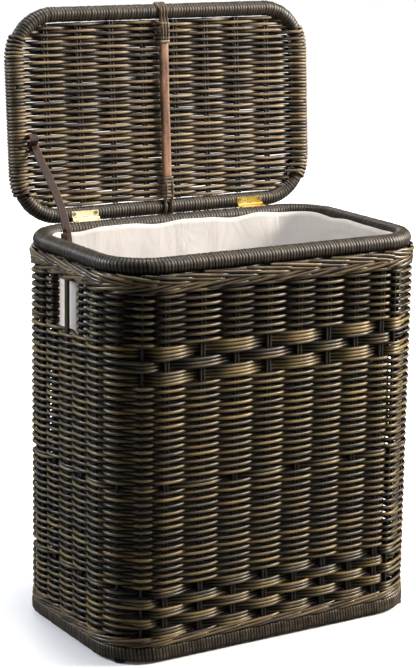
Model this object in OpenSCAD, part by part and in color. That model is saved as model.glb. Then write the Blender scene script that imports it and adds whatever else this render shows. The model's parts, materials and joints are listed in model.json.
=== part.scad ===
// Woven laundry basket with a hinged woven lid, a cloth liner and a leather stay strap.
// Units are millimetres. X is the width, the front faces -Y and Z is up.
// The origin is on the floor, under the middle of the basket. The lid stands open.

/* [Basket] */
// Width over the woven wall
body_w = 554; // [540:2:580]
// Depth over the woven wall
body_d = 340; // [332:2:350]
// Outer radius of the upright corners
body_r = 84; // [80:1:88]
// Thickness of the woven wall
wall_t = 15; // [14:0.5:16]
// Height of the top of the rim above the floor
rim_top = 610; // [600:1:640]

/* [Weave] */
// Height where the base braid ends and the lower band starts
lower_band_z = 38; // [34:1:42]
// Height of the top of the lower band
lower_band_top = 116; // [100:1:130]
// Height of the foot of the upper band
upper_band_z = 428; // [400:1:440]
// Height of the top of the upper band
upper_band_top = 476; // [465:1:480]
// Depth of the border braid under the rim
border_h = 27; // [24:1:30]
// Diameter of one upright stake
stake_d = 5; // [4.4:0.1:5.4]

/* [Handle windows] */
// Height of the hand window in each side wall
window_h = 73; // [50:1:76]
// Front edge of the window, measured from the middle
window_front = -33; // [-34:0.5:-20]
// Back edge of the window, measured from the middle
window_back = 37; // [25:0.5:37]

/* [Base] */
// Height of the glides under the base
glide_h = 3; // [2:0.5:5]
// Diameter of a glide
glide_d = 18; // [14:1:18]
// Width of the base ring
base_ring_w = 18; // [17:0.5:20]
// Height of the base ring
base_ring_h = 23; // [21:0.5:25]

/* [Rim and lid] */
// Outer diameter of the wrapped rim
rim_d = 26; // [25:0.5:27]
// Diameter of the pole inside the rim
rim_core_d = 20.8; // [18:0.2:21]
// Diameter of the wrapped lid rails
rail_d = 24; // [23:0.5:25]
// Diameter of the woven sleeves on the lid sides
sleeve_d = 31; // [29:0.5:31]
// Diameter of the pole inside the lid frame
lid_core_d = 20.8; // [18:0.2:21]
// Thickness of the woven lid panel
panel_t = 14; // [13:0.5:15]
// Angle at which the lid stands open
lid_open = 94; // [85:1:100]
// Width of the wooden brace under the lid
brace_w = 15; // [12:1:17]
// Thickness of the brace
brace_t = 7; // [6:0.5:7]

/* [Hinges] */
// Distance of each hinge from the middle
hinge_x = 152; // [120:1:170]
// Length of a hinge
hinge_len = 47; // [44:1:50]
// Radius of the hinge barrel
barrel_r = 2.6; // [2.5:0.05:2.8]
// Radius of the hinge pin
pin_r = 1.2; // [1:0.05:1.4]

/* [Liner and strap] */
// Thickness of the liner cloth
liner_t = 1.5; // [1:0.5:2]
// Height of the hem of the liner
liner_top = 604; // [598:1:606]
// Width of the strap
strap_w = 13; // [12:0.5:14]
// Thickness of the strap
strap_t = 3; // [2:0.5:3]
// Length of the strap from the lid to its fold
strap_up_len = 76.3; // [76.2:0.1:79]
// Length of the strap from its fold to the rim
strap_low_len = 97.3; // [97.2:0.1:100]

/* [Hidden] */

$fn = 64;
touch_gap = 0.1;
hole_gap = 0.05;

// Wall
wall_mid_x = body_w / 2 - wall_t / 2;
wall_mid_y = body_d / 2 - wall_t / 2;
corner_x = body_w / 2 - body_r;
corner_y = body_d / 2 - body_r;
corner_mid_r = body_r - wall_t / 2;
rim_mid_z = rim_top - rim_d / 2;
border_z = rim_top - rim_d - border_h;
window_z = border_z - window_h;
stake_r = stake_d / 2;
pair_step = stake_d + 0.2;
channel_t = stake_d + 0.4;
channel_len = 2 * stake_d + 0.6;
pair_half = channel_len / 2;

// Uprights: the pairs close up a little toward the right and toward the back
front_first = -195;
front_pitch = 61.3;
front_close = 1.0;
front_count = 8;
side_first = -87;
side_pitch = 46.5;
side_close = 0.9;
side_count = 5;
window_pair = 2;
left_corner_angles = [29, 56];
right_corner_angles = [13, 50];

// Base
base_w = body_w;
base_d = body_d - 1;
base_r = body_r - 6;
base_top = glide_h + base_ring_h;
base_mid_z = glide_h + base_ring_h / 2;
base_round = 6;
peel_t = 2.7;
floor_z = glide_h + 8;
floor_t = 12;

// Rim
rim_w = body_w - 5;
rim_depth = body_d - 6;
rim_r = body_r - 2;
rim_line_w = rim_w - rim_d;
rim_line_d = rim_depth - rim_d;
rim_line_r = rim_r - rim_d / 2;
rim_mid_y = rim_line_d / 2;
rim_inner_x = rim_w / 2 - rim_d;
rim_inner_y = rim_depth / 2 - rim_d;

// Lid, drawn closed and then turned open about the hinge
lid_line_w = rim_w - sleeve_d;
lid_line_d = 310;
lid_line_r = 67;
lid_mid_y = 3;
lid_z = rim_top + 0.4 + sleeve_d / 2;
panel_z = lid_z - panel_t / 2;
rail_y = lid_line_d / 2;
lid_pitch = 57.5;
lid_first = -206;
lid_stake_count = 8;
brace_x = -2;
brace_z = panel_z - touch_gap * 4 - brace_t;
lash_len = 32;
lash_t = 1.5;
band_t = 1.2;
band_w = 5;

// Hinges
hinge_y = body_d / 2 - 5.5;
hinge_z = rim_top + 2;
leaf_t = 1.2;
leaf_in_y = hinge_y - 12.5;
leaf_root_y = hinge_y - 3;
body_leaf_z = hinge_z - barrel_r - 0.1;
lid_leaf_z = hinge_z + barrel_r - leaf_t;
knuckles = 5;
knuckle_gap = 0.3;
knuckle_len = (hinge_len - knuckle_gap * (knuckles - 1)) / knuckles;
screw_x = 19;
screw_y = hinge_y - 8.3;
screw_r = 1.5;
screw_head_r = 2.9;
screw_head_h = 0.8;
screw_len = 11;

// Liner
liner_gap = 1;
liner_w = 2 * (rim_inner_x - liner_gap);
liner_d = 2 * (rim_inner_y - liner_gap);
liner_r = 56;
liner_z = floor_z + floor_t + 0.3;

// Strap: it lies beside the liner on the left and folds toward the front
tab_t = 2;
tab_x = -(liner_w / 2 - liner_t - 0.3 - tab_t);
strap_x = tab_x + 0.3 + strap_w / 2;
strap_lid_y = 38;
strap_lid_z = hinge_z - 0.5;
strap_rim_y = 59;
strap_rim_z = hinge_z - 4.5;
strap_end_gap = 3;
strap_side = 2;
tab_screw_z = rim_mid_z;
rivet_from_end = 11;
rivet_r = 1.3;
rivet_head_r = 3.4;
rivet_head_h = 1;

// A closed point of the lid, turned open about the hinge line, as [y, z]
function opened(y, z) = [
  hinge_y + (y - hinge_y) * cos(lid_open) + (z - hinge_z) * sin(lid_open),
  hinge_z - (y - hinge_y) * sin(lid_open) + (z - hinge_z) * cos(lid_open)
];
strap_a = opened(strap_lid_y, strap_lid_z);
strap_b = [strap_rim_y, strap_rim_z];
span = norm(strap_b - strap_a);
along = (strap_up_len * strap_up_len - strap_low_len * strap_low_len + span * span) / (2 * span);
bow = sqrt(max(strap_up_len * strap_up_len - along * along, 0));
span_dir = (strap_b - strap_a) / span;
strap_m = strap_a + span_dir * along + [span_dir[1], -span_dir[0]] * bow;
upper_angle = atan2(strap_m[1] - strap_a[1], strap_m[0] - strap_a[0]);
lower_angle = atan2(strap_b[1] - strap_m[1], strap_b[0] - strap_m[0]);

// Uprights as [x, y, turn about Z]
function front_x(k) = front_first + front_pitch * k - front_close * k * k;
function side_y(k) = side_first + side_pitch * k - side_close * k * k;
function lid_x(k) = lid_first + lid_pitch * k;
front_pairs = [
  for (k = [0 : front_count - 1], s = [-1, 1]) [front_x(k), s * wall_mid_y, 0]
];
side_pairs = [
  for (k = [0 : side_count - 1], s = [-1, 1]) if (k != window_pair) [s * wall_mid_x, side_y(k), 90]
];
window_pairs = [for (s = [-1, 1]) [s * wall_mid_x, side_y(window_pair), 90]];
all_pairs = concat(front_pairs, side_pairs, window_pairs);
left_posts = [
  for (a = left_corner_angles, s = [-1, 1])
    [-corner_x - corner_mid_r * sin(a), s * (corner_y + corner_mid_r * cos(a)), 0]
];
right_posts = [
  for (a = right_corner_angles, s = [-1, 1])
    [corner_x + corner_mid_r * sin(a), s * (corner_y + corner_mid_r * cos(a)), 0]
];
all_posts = concat(left_posts, right_posts);

// Colours
rattan_dark = "#4A4038";
rattan_brown = "#6B6058";
rattan_peel = "#3A352F";
stake_brown = "#5A4C3E";
brace_brown = "#6B4A30";
cloth_white = "#E8E2DE";
leather_brown = "#4A3A35";
brass_gold = "#B08A20";

module rounded_plan(w, d, r) {
  square([w - 2 * r, d], center = true);
  square([w, d - 2 * r], center = true);
  for (sx = [-1, 1], sy = [-1, 1]) {
    translate([sx * (w / 2 - r), sy * (d / 2 - r)]) circle(r = r);
  }
}

// A profile carried round one long side and its two corners
module sweep_side(w, d, r) {
  translate([0, d / 2, 0]) rotate([90, 0, 90]) linear_extrude(w - 2 * r, center = true) children();
  for (side = [0, 1]) mirror([side, 0, 0]) {
    translate([w / 2 - r, d / 2 - r, 0]) rotate_extrude(angle = 90) translate([r, 0]) children();
  }
}

// A profile carried round the whole rounded rectangle
module sweep_loop(w, d, r) {
  for (side = [0, 1]) {
    mirror([0, side, 0]) sweep_side(w, d, r) children();
    mirror([side, 0, 0]) translate([w / 2, d / 2 - r, 0]) rotate([90, 0, 0]) {
      linear_extrude(d - 2 * r) children();
    }
  }
}

module tube_profile(outer_r, inner_r) {
  difference() {
    circle(r = outer_r);
    circle(r = inner_r);
  }
}

module soft_box_profile(w, h, r) {
  square([w - 2 * r, h], center = true);
  square([w, h - 2 * r], center = true);
  for (sx = [-1, 1], sy = [-1, 1]) {
    translate([sx * (w / 2 - r), sy * (h / 2 - r)]) circle(r = r, $fn = 32);
  }
}

module wall_plan() {
  difference() {
    rounded_plan(body_w, body_d, body_r);
    rounded_plan(body_w - 2 * wall_t, body_d - 2 * wall_t, body_r - wall_t);
    for (p = all_pairs) {
      translate([p[0], p[1]]) rotate(p[2]) square([channel_len, channel_t], center = true);
    }
    for (p = all_posts) {
      translate([p[0], p[1]]) circle(d = channel_t, $fn = 24);
    }
  }
}

module weave_zone(z0, z1) {
  translate([0, 0, z0]) linear_extrude(z1 - z0) wall_plan();
}

module upright(p) {
  translate([p[0], p[1], base_top + touch_gap]) {
    cylinder(r = stake_r, h = rim_top - rim_d - base_top - 2 * touch_gap, $fn = 24);
  }
}

module upright_pair(p) {
  for (s = [-1, 1]) {
    upright([p[0] + s * cos(p[2]) * pair_step / 2, p[1] + s * sin(p[2]) * pair_step / 2]);
  }
}

module lid_place() {
  translate([0, hinge_y, hinge_z]) rotate([-lid_open, 0, 0]) translate([0, -hinge_y, -hinge_z]) {
    children();
  }
}

// Base
module base_core() color(rattan_dark) {
  translate([0, 0, base_mid_z]) {
    sweep_loop(base_w - base_ring_w, base_d - base_ring_w, base_r - base_ring_w / 2) {
      soft_box_profile(base_ring_w - 2 * peel_t, base_ring_h - 2 * peel_t, base_round - peel_t);
    }
  }
}

module base_wrap() color(rattan_peel) {
  translate([0, 0, base_mid_z]) {
    sweep_loop(base_w - base_ring_w, base_d - base_ring_w, base_r - base_ring_w / 2) {
      difference() {
        soft_box_profile(base_ring_w, base_ring_h, base_round);
        soft_box_profile(
          base_ring_w - 2 * peel_t + 2 * touch_gap,
          base_ring_h - 2 * peel_t + 2 * touch_gap,
          base_round - peel_t + touch_gap
        );
      }
    }
  }
}

module base_panel() color(rattan_brown) {
  inset = 2 * (base_ring_w + touch_gap);
  translate([0, 0, floor_z]) linear_extrude(floor_t) {
    rounded_plan(base_w - inset, base_d - inset, base_r - inset / 2);
  }
}

module glides() color("#2A2725") {
  glide_x = base_w / 2 - base_r + (base_r - base_ring_w / 2) * cos(38);
  glide_y = base_d / 2 - base_r + (base_r - base_ring_w / 2) * sin(38);
  for (sx = [-1, 1], sy = [-1, 1]) {
    translate([sx * glide_x, sy * glide_y, 0]) cylinder(d = glide_d, h = glide_h, $fn = 48);
  }
}

// Woven wall, from the base up
module base_braid() color(rattan_dark) weave_zone(base_top, lower_band_z);

module weave_lower_band() color(rattan_brown) weave_zone(lower_band_z, lower_band_top);

module weave_main() color(rattan_brown) weave_zone(lower_band_top, upper_band_z);

module weave_upper_band() color(rattan_brown) weave_zone(upper_band_z, upper_band_top);

module weave_top() color(rattan_brown) difference() {
  weave_zone(upper_band_top, border_z);
  for (s = [-1, 1]) {
    translate([s * wall_mid_x, (window_front + window_back) / 2, window_z + 50]) {
      cube([wall_t * 2, window_back - window_front, 100], center = true);
    }
  }
}

module top_border() color(rattan_dark) weave_zone(border_z, rim_top - rim_d);

module wall_stakes() color(stake_brown) {
  for (p = concat(front_pairs, side_pairs)) {
    upright_pair(p);
  }
}

module corner_posts() color(stake_brown) {
  for (p = all_posts) {
    upright(p);
  }
}

module window_stakes() color(stake_brown) {
  for (p = window_pairs) {
    upright_pair(p);
  }
}

// Rim
module rim_core() color(rattan_dark) difference() {
  translate([0, 0, rim_mid_z]) sweep_loop(rim_line_w, rim_line_d, rim_line_r) circle(d = rim_core_d);
  body_screw_holes();
  strap_screw_hole();
}

module rim_wrap() color(rattan_peel) difference() {
  translate([0, 0, rim_mid_z]) sweep_loop(rim_line_w, rim_line_d, rim_line_r) {
    tube_profile(rim_d / 2, rim_core_d / 2 + touch_gap);
  }
  for (s = [-1, 1]) {
    translate([s * hinge_x, leaf_in_y - touch_gap, body_leaf_z - touch_gap]) {
      translate([-hinge_len / 2 - touch_gap, 0, 0]) cube([hinge_len + 2 * touch_gap, 30, 5]);
    }
  }
  body_screw_holes();
  strap_screw_hole();
}

module body_screw_holes() {
  for (s = [-1, 1], e = [-1, 1]) {
    translate([s * hinge_x + e * screw_x, screw_y, body_leaf_z - screw_len]) {
      cylinder(r = screw_r + hole_gap, h = screw_len + 3, $fn = 24);
    }
  }
}

module strap_screw_hole() {
  translate([tab_x - 14, strap_rim_y, tab_screw_z]) rotate([0, 90, 0]) {
    cylinder(r = screw_r + hole_gap, h = 14, $fn = 24);
  }
}

// Liner
module liner_bag() color(cloth_white) difference() {
  translate([0, 0, liner_z]) linear_extrude(liner_top - liner_z) rounded_plan(liner_w, liner_d, liner_r);
  translate([0, 0, liner_z + liner_t]) linear_extrude(liner_top) {
    rounded_plan(liner_w - 2 * liner_t, liner_d - 2 * liner_t, liner_r - liner_t);
  }
  strap_screw_hole();
}

// Hinges: the body leaf has the outer and middle knuckles, the lid leaf has the two between
module knuckle(k, extra = 0) {
  start = -hinge_len / 2 + k * (knuckle_len + knuckle_gap);
  translate([start - extra, hinge_y, hinge_z]) rotate([0, 90, 0]) {
    cylinder(r = barrel_r, h = knuckle_len + 2 * extra, $fn = 48);
  }
}

module leaf_root(k, z) {
  start = -hinge_len / 2 + k * (knuckle_len + knuckle_gap);
  translate([start, leaf_root_y - 0.5, z]) cube([knuckle_len, hinge_y - leaf_root_y + 0.5, leaf_t]);
}

module pin_hole() {
  translate([-hinge_len / 2 - 1, hinge_y, hinge_z]) rotate([0, 90, 0]) {
    cylinder(r = pin_r + hole_gap, h = hinge_len + 2, $fn = 48);
  }
}

module leaf_plate(z, first) {
  difference() {
    union() {
      translate([-hinge_len / 2, leaf_in_y, z]) cube([hinge_len, leaf_root_y - leaf_in_y, leaf_t]);
      for (k = [first : 2 : knuckles - 1]) {
        leaf_root(k, z);
        knuckle(k);
      }
    }
    pin_hole();
    for (e = [-1, 1]) {
      translate([e * screw_x, screw_y, z - 1]) cylinder(r = screw_r + hole_gap, h = 3, $fn = 24);
    }
  }
}

module hinge_left_body_leaf() color(brass_gold) translate([-hinge_x, 0, 0]) leaf_plate(body_leaf_z, 0);

module hinge_right_body_leaf() color(brass_gold) translate([hinge_x, 0, 0]) leaf_plate(body_leaf_z, 0);

module hinge_pin(x) {
  translate([x - hinge_len / 2, hinge_y, hinge_z]) rotate([0, 90, 0]) {
    cylinder(r = pin_r, h = hinge_len, $fn = 48);
  }
}

module hinge_left_pin() color(brass_gold) hinge_pin(-hinge_x);

module hinge_right_pin() color(brass_gold) hinge_pin(hinge_x);

module body_hinge_screws() color(brass_gold) {
  for (s = [-1, 1], e = [-1, 1]) {
    translate([s * hinge_x + e * screw_x, screw_y, body_leaf_z + leaf_t]) {
      cylinder(r = screw_head_r, h = screw_head_h, $fn = 32);
      translate([0, 0, -screw_len]) cylinder(r = screw_r, h = screw_len, $fn = 24);
    }
  }
}

// Lid
module lid_loop_place() {
  translate([0, lid_mid_y, lid_z]) children();
}

module lid_screw_holes() {
  for (s = [-1, 1], e = [-1, 1]) {
    translate([s * hinge_x + e * screw_x, screw_y, lid_leaf_z - 1]) {
      cylinder(r = screw_r + hole_gap, h = screw_len + 2, $fn = 24);
    }
  }
}

module lid_core() color(rattan_dark) lid_place() difference() {
  lid_loop_place() sweep_loop(lid_line_w, lid_line_d, lid_line_r) circle(d = lid_core_d);
  lid_screw_holes();
}

module rail_wrap() {
  lid_loop_place() sweep_side(lid_line_w, lid_line_d, lid_line_r) {
    tube_profile(rail_d / 2, lid_core_d / 2 + touch_gap);
  }
}

module lid_front_wrap() color(rattan_peel) lid_place() {
  translate([0, 2 * lid_mid_y, 0]) mirror([0, 1, 0]) rail_wrap();
}

module lid_back_wrap() color(rattan_peel) lid_place() difference() {
  rail_wrap();
  for (s = [-1, 1]) {
    translate([s * hinge_x - hinge_len / 2 - touch_gap, leaf_in_y - touch_gap, lid_leaf_z - 5]) {
      cube([hinge_len + 2 * touch_gap, 30, 5 + leaf_t + touch_gap]);
    }
  }
  lid_screw_holes();
}

// How much the curved rail corner shortens a lid stake standing at x
function corner_cut(x) = let (
  r = lid_line_r - rail_d / 2,
  over = max(0, abs(x) + stake_r - lid_line_w / 2 + lid_line_r)
) r - sqrt(r * r - over * over);

module lid_stake_row(r) {
  for (k = [0 : lid_stake_count - 1], s = [-1, 1]) {
    x = lid_x(k) + s * pair_step / 2;
    translate([x, lid_mid_y, lid_z]) rotate([90, 0, 0]) {
      cylinder(r = r, h = lid_line_d - rail_d - 1 - 2 * corner_cut(x), center = true, $fn = 24);
    }
  }
}

module lid_weave() color(rattan_brown) lid_place() difference() {
  union() {
    lid_loop_place() translate([0, 0, -panel_t / 2]) linear_extrude(panel_t) {
      rounded_plan(lid_line_w, lid_line_d, lid_line_r);
    }
    for (s = [-1, 1]) {
      lid_loop_place() translate([s * lid_line_w / 2, 0, 0]) rotate([90, 0, 0]) {
        cylinder(d = sleeve_d, h = lid_line_d - 2 * lid_line_r - 2 * touch_gap, center = true);
      }
    }
  }
  lid_loop_place() {
    sweep_loop(lid_line_w, lid_line_d, lid_line_r) circle(d = lid_core_d + 2 * touch_gap);
    for (s = [0, 1]) mirror([0, s, 0]) {
      sweep_side(lid_line_w, lid_line_d, lid_line_r) circle(d = rail_d + 2 * touch_gap);
      translate([brace_x, rail_y, 0]) rotate([0, 90, 0]) {
        cylinder(r = rail_d / 2 + band_t + touch_gap, h = 4 * band_w, center = true);
      }
    }
    for (k = [0 : lid_stake_count - 1]) {
      translate([lid_x(k), 0, 0]) cube([channel_len, lid_line_d - rail_d / 2, channel_t], center = true);
    }
  }
  for (s = [-1, 1]) {
    translate([brace_x, lid_mid_y + s * (lid_line_d - rail_d - lash_len - 2) / 2, lid_z]) {
      for (e = [-1, 1]) {
        translate([e * (lash_side - lash_t / 2), 0, 0]) {
          cube([lash_t + 2 * touch_gap, lash_len + 2 * touch_gap, 3 * panel_t], center = true);
        }
      }
    }
  }
  tab_screw(hole_gap);
}

module lid_stakes() color(stake_brown) lid_place() lid_stake_row(stake_r);

module lid_brace() color(brace_brown) lid_place() {
  translate([brace_x - brace_w / 2, lid_mid_y - (lid_line_d - rail_d - 4) / 2, brace_z]) {
    cube([brace_w, lid_line_d - rail_d - 4, brace_t]);
  }
}

// A lashing: turns round the brace and the panel, and two bands over the rail
lash_side = brace_w / 2 + 0.4 + lash_t;
module lashing(s) {
  lash_bottom = brace_z - touch_gap - lash_t;
  lash_top = lid_z + panel_t / 2 + touch_gap + lash_t;
  lash_h = lash_top - lash_bottom;
  translate([brace_x, lid_mid_y + s * (lid_line_d - rail_d - lash_len - 2) / 2, lash_bottom]) {
    difference() {
      translate([-lash_side, -lash_len / 2, 0]) cube([2 * lash_side, lash_len, lash_h]);
      translate([-lash_side + lash_t, -lash_len / 2 - 1, lash_t]) {
        cube([2 * (lash_side - lash_t), lash_len + 2, lash_h - 2 * lash_t]);
      }
    }
  }
  for (e = [-1, 1]) {
    translate([brace_x + e * band_w, lid_mid_y + s * rail_y, lid_z]) rotate([0, 90, 0]) {
      difference() {
        cylinder(r = rail_d / 2 + band_t, h = band_w, center = true);
        cylinder(r = rail_d / 2 + hole_gap, h = band_w + 2, center = true);
      }
    }
  }
}

module lashing_front() color(rattan_peel) lid_place() lashing(-1);

module lashing_back() color(rattan_peel) lid_place() lashing(1);

module hinge_left_lid_leaf() color(brass_gold) lid_place() {
  translate([-hinge_x, 0, 0]) leaf_plate(lid_leaf_z, 1);
}

module hinge_right_lid_leaf() color(brass_gold) lid_place() {
  translate([hinge_x, 0, 0]) leaf_plate(lid_leaf_z, 1);
}

module lid_hinge_screws() color(brass_gold) lid_place() {
  for (s = [-1, 1], e = [-1, 1]) {
    translate([s * hinge_x + e * screw_x, screw_y, lid_leaf_z]) {
      translate([0, 0, -screw_head_h]) cylinder(r = screw_head_r, h = screw_head_h, $fn = 32);
      cylinder(r = screw_r, h = screw_len, $fn = 24);
    }
  }
}

// Strap: a tab at each end and two straight lengths that meet at the fold
module strap_lid_tab() color(leather_brown) lid_place() difference() {
  translate([strap_x - strap_w / 2, strap_lid_y, panel_z - strap_t]) cube([strap_w, 22, strap_t]);
  tab_screw(hole_gap);
}

module tab_screw(gap) {
  translate([strap_x, strap_lid_y + 13, panel_z - strap_t - 0.1]) {
    cylinder(r = screw_r + gap, h = 9, $fn = 24);
  }
}

module strap_lid_screw() color(brass_gold) lid_place() {
  tab_screw(0);
  translate([strap_x, strap_lid_y + 13, panel_z - strap_t - 0.9]) {
    cylinder(r = screw_head_r, h = 0.9, $fn = 32);
  }
}

module strap_rim_tab() color(leather_brown) difference() {
  translate([tab_x - tab_t, strap_rim_y - 9, rim_top - 22]) cube([tab_t, 18, 24]);
  strap_screw_hole();
  translate([tab_x - 1, strap_rim_y, tab_screw_z]) rotate([0, 90, 0]) {
    cylinder(r = screw_head_r + hole_gap, h = 2, $fn = 32);
  }
}

module strap_rim_screw() color(brass_gold) {
  translate([tab_x, strap_rim_y, tab_screw_z]) rotate([0, -90, 0]) {
    cylinder(r = screw_head_r, h = 1, $fn = 32);
    cylinder(r = screw_r, h = 13, $fn = 24);
  }
}

// One straight length of strap, from a hinge point along the given angle
module strap_length(p, angle, length) {
  translate([strap_x, p[0], p[1]]) rotate([angle, 0, 0]) {
    translate([-strap_w / 2, strap_end_gap, -strap_side - strap_t / 2]) {
      cube([strap_w, length - 2 * strap_end_gap, strap_t]);
    }
  }
}

module rivet_place() {
  translate([strap_x, strap_m[0], strap_m[1]]) rotate([lower_angle, 0, 0]) {
    translate([0, strap_low_len - rivet_from_end, -strap_side]) children();
  }
}

module strap_upper() color(leather_brown) strap_length(strap_a, upper_angle, strap_up_len);

module strap_lower() color(leather_brown) difference() {
  strap_length(strap_m, lower_angle, strap_low_len);
  rivet_place() cylinder(r = rivet_r + hole_gap, h = 2 * strap_t, center = true, $fn = 24);
}

module strap_rivet() color(brass_gold) rivet_place() {
  cylinder(r = rivet_r, h = strap_t + 0.2, center = true, $fn = 24);
  for (s = [0, 1]) mirror([0, 0, s]) {
    translate([0, 0, strap_t / 2]) cylinder(r = rivet_head_r, h = rivet_head_h, $fn = 32);
  }
}

base_core();
base_wrap();
base_panel();
glides();
base_braid();
weave_lower_band();
weave_main();
weave_upper_band();
weave_top();
top_border();
wall_stakes();
corner_posts();
window_stakes();
rim_core();
rim_wrap();
liner_bag();
hinge_left_body_leaf();
hinge_right_body_leaf();
hinge_left_pin();
hinge_right_pin();
body_hinge_screws();
strap_rim_tab();
strap_rim_screw();
lid_core();
lid_front_wrap();
lid_back_wrap();
lid_weave();
lid_stakes();
lid_brace();
lashing_front();
lashing_back();
hinge_left_lid_leaf();
hinge_right_lid_leaf();
lid_hinge_screws();
strap_lid_tab();
strap_lid_screw();
strap_upper();
strap_lower();
strap_rivet();
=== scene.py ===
import json
import math

import bpy
import numpy as np
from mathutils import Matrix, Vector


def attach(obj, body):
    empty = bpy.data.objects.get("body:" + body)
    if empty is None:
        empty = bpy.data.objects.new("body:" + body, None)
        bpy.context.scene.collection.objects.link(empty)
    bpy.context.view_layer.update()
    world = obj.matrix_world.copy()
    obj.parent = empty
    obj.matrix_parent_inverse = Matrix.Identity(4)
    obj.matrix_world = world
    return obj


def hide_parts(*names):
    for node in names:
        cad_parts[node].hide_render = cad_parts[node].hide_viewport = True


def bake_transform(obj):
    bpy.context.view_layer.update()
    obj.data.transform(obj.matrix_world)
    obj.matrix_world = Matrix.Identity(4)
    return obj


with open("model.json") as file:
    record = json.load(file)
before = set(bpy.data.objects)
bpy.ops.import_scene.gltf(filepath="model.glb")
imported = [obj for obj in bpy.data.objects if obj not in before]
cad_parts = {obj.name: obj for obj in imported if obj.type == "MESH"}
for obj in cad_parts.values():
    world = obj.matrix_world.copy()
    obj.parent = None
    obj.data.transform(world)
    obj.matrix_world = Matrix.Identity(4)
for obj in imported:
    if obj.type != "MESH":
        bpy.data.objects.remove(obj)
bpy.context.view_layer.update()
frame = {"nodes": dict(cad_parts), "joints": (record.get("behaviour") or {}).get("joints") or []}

MM = 0.001

# ---------------------------------------------------------------- sizes, millimetres
WALL_W, WALL_D, WALL_R, WALL_T = 554.0, 340.0, 84.0, 15.0
RIM_TOP, RIM_TUBE = 610.0, 13.0
RIM_W, RIM_DEPTH, RIM_R = 549.0, 334.0, 82.0
BASE_W, BASE_D, BASE_R = 554.0, 339.0, 78.0
BASE_LOW, BASE_TOP = 3.0, 26.0
BAND_LOW, BAND_TOP = 38.0, 116.0
UPPER_LOW, UPPER_TOP = 428.0, 476.0
BORDER_LOW, BORDER_TOP = 557.0, 584.0
HINGE_Y, HINGE_Z, LID_OPEN = 164.5, 612.0, 94.0
LID_Z, LID_MID_Y, LID_LINE_W, LID_LINE_D, LID_LINE_R = 625.9, 3.0, 518.0, 310.0, 67.0
RAIL_R, POLE_R = 12.0, 10.5


# ---------------------------------------------------------------- paths
class Loop:
    """A rounded rectangle as a path. It starts at the back of the left side and goes to the front first."""

    def __init__(self, w, d, r, y0=0.0):
        self.w, self.d, self.r, self.y0 = w, d, r, y0
        arc = math.pi * r / 2
        self.lengths = [d - 2 * r, arc, w - 2 * r, arc, d - 2 * r, arc, w - 2 * r, arc]
        self.total = sum(self.lengths)
        self.starts = np.concatenate([[0.0], np.cumsum(self.lengths)])

    def at(self, s):
        """Points and outward normals at distances s along the path."""
        s = np.mod(np.asarray(s, float), self.total)
        cx, cy, r = self.w / 2 - self.r, self.d / 2 - self.r, self.r
        x, y = np.zeros_like(s), np.zeros_like(s)
        nx, ny = np.zeros_like(s), np.zeros_like(s)
        corner = [(-cx, -cy, math.pi), (cx, -cy, 1.5 * math.pi), (cx, cy, 0.0), (-cx, cy, 0.5 * math.pi)]
        sides = [(-self.w / 2, cy, 0, -1, -1, 0), (-cx, -self.d / 2, 1, 0, 0, -1),
                 (self.w / 2, -cy, 0, 1, 1, 0), (cx, self.d / 2, -1, 0, 0, 1)]
        for k in range(8):
            on = (s >= self.starts[k]) & (s <= self.starts[k + 1])
            t = s[on] - self.starts[k]
            if k % 2 == 0:
                px, py, dx, dy, ax, ay = sides[k // 2]
                x[on], y[on], nx[on], ny[on] = px + dx * t, py + dy * t, ax, ay
            else:
                px, py, a0 = corner[k // 2]
                a = a0 + t / r
                x[on], y[on] = px + r * np.cos(a), py + r * np.sin(a)
                nx[on], ny[on] = np.cos(a), np.sin(a)
        return x, y + self.y0, nx, ny


def smooth(t):
    t = np.clip(t, 0.0, 1.0)
    return t * t * (3 - 2 * t)


def angles(n):
    """So many angles, once round."""
    return np.arange(n) / n * 2 * math.pi


WOBBLES = 512


class Wobble:
    """Smooth seeded noise along a line."""

    def __init__(self, rng, step, size):
        self.values = rng.uniform(-1, 1, WOBBLES) * size
        self.step = step

    def at(self, s):
        t = np.asarray(s, float) / self.step
        i = np.floor(t).astype(int)
        f = smooth(t - i)
        return self.values[i % WOBBLES] * (1 - f) + self.values[(i + 1) % WOBBLES] * f


# ---------------------------------------------------------------- meshes
def grid(rows, around, closed):
    """Faces between rows of points, each row a ring. closed joins the last row to the first."""
    n = rows if closed else rows - 1
    i = np.arange(n)[:, None] * around
    k = (np.arange(n)[:, None] + 1) % rows * around
    j = np.arange(around)[None, :]
    jn = (j + 1) % around
    return np.stack([i + j, i + jn, k + jn, k + j], -1).reshape(-1, 4)


def fan(first, around, centre, at_start):
    """Triangles that close a ring of points with the one point in its middle."""
    a = first + np.arange(around)
    b = first + (np.arange(around) + 1) % around
    c = np.full(around, centre)
    return np.stack([b, a, c, c] if at_start else [a, b, c, c], -1)


# A rod's cut end: how narrow it is, how far it domes and how worn it looks, with its painted shade, as shares
# of the rod's own
END_TAPER, END_DOME, END_WEAR_AND_SHADE = 0.55, 0.5, 0.3
# Painted shade: from the deepest part of the weave, painted darkest, to the outermost, most worn part
WEAR_AND_SHADE_SPAN = 15.0   # from the deepest, darkest part of the weave to its outermost, most worn part
SIDES = 8          # of a rod


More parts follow.
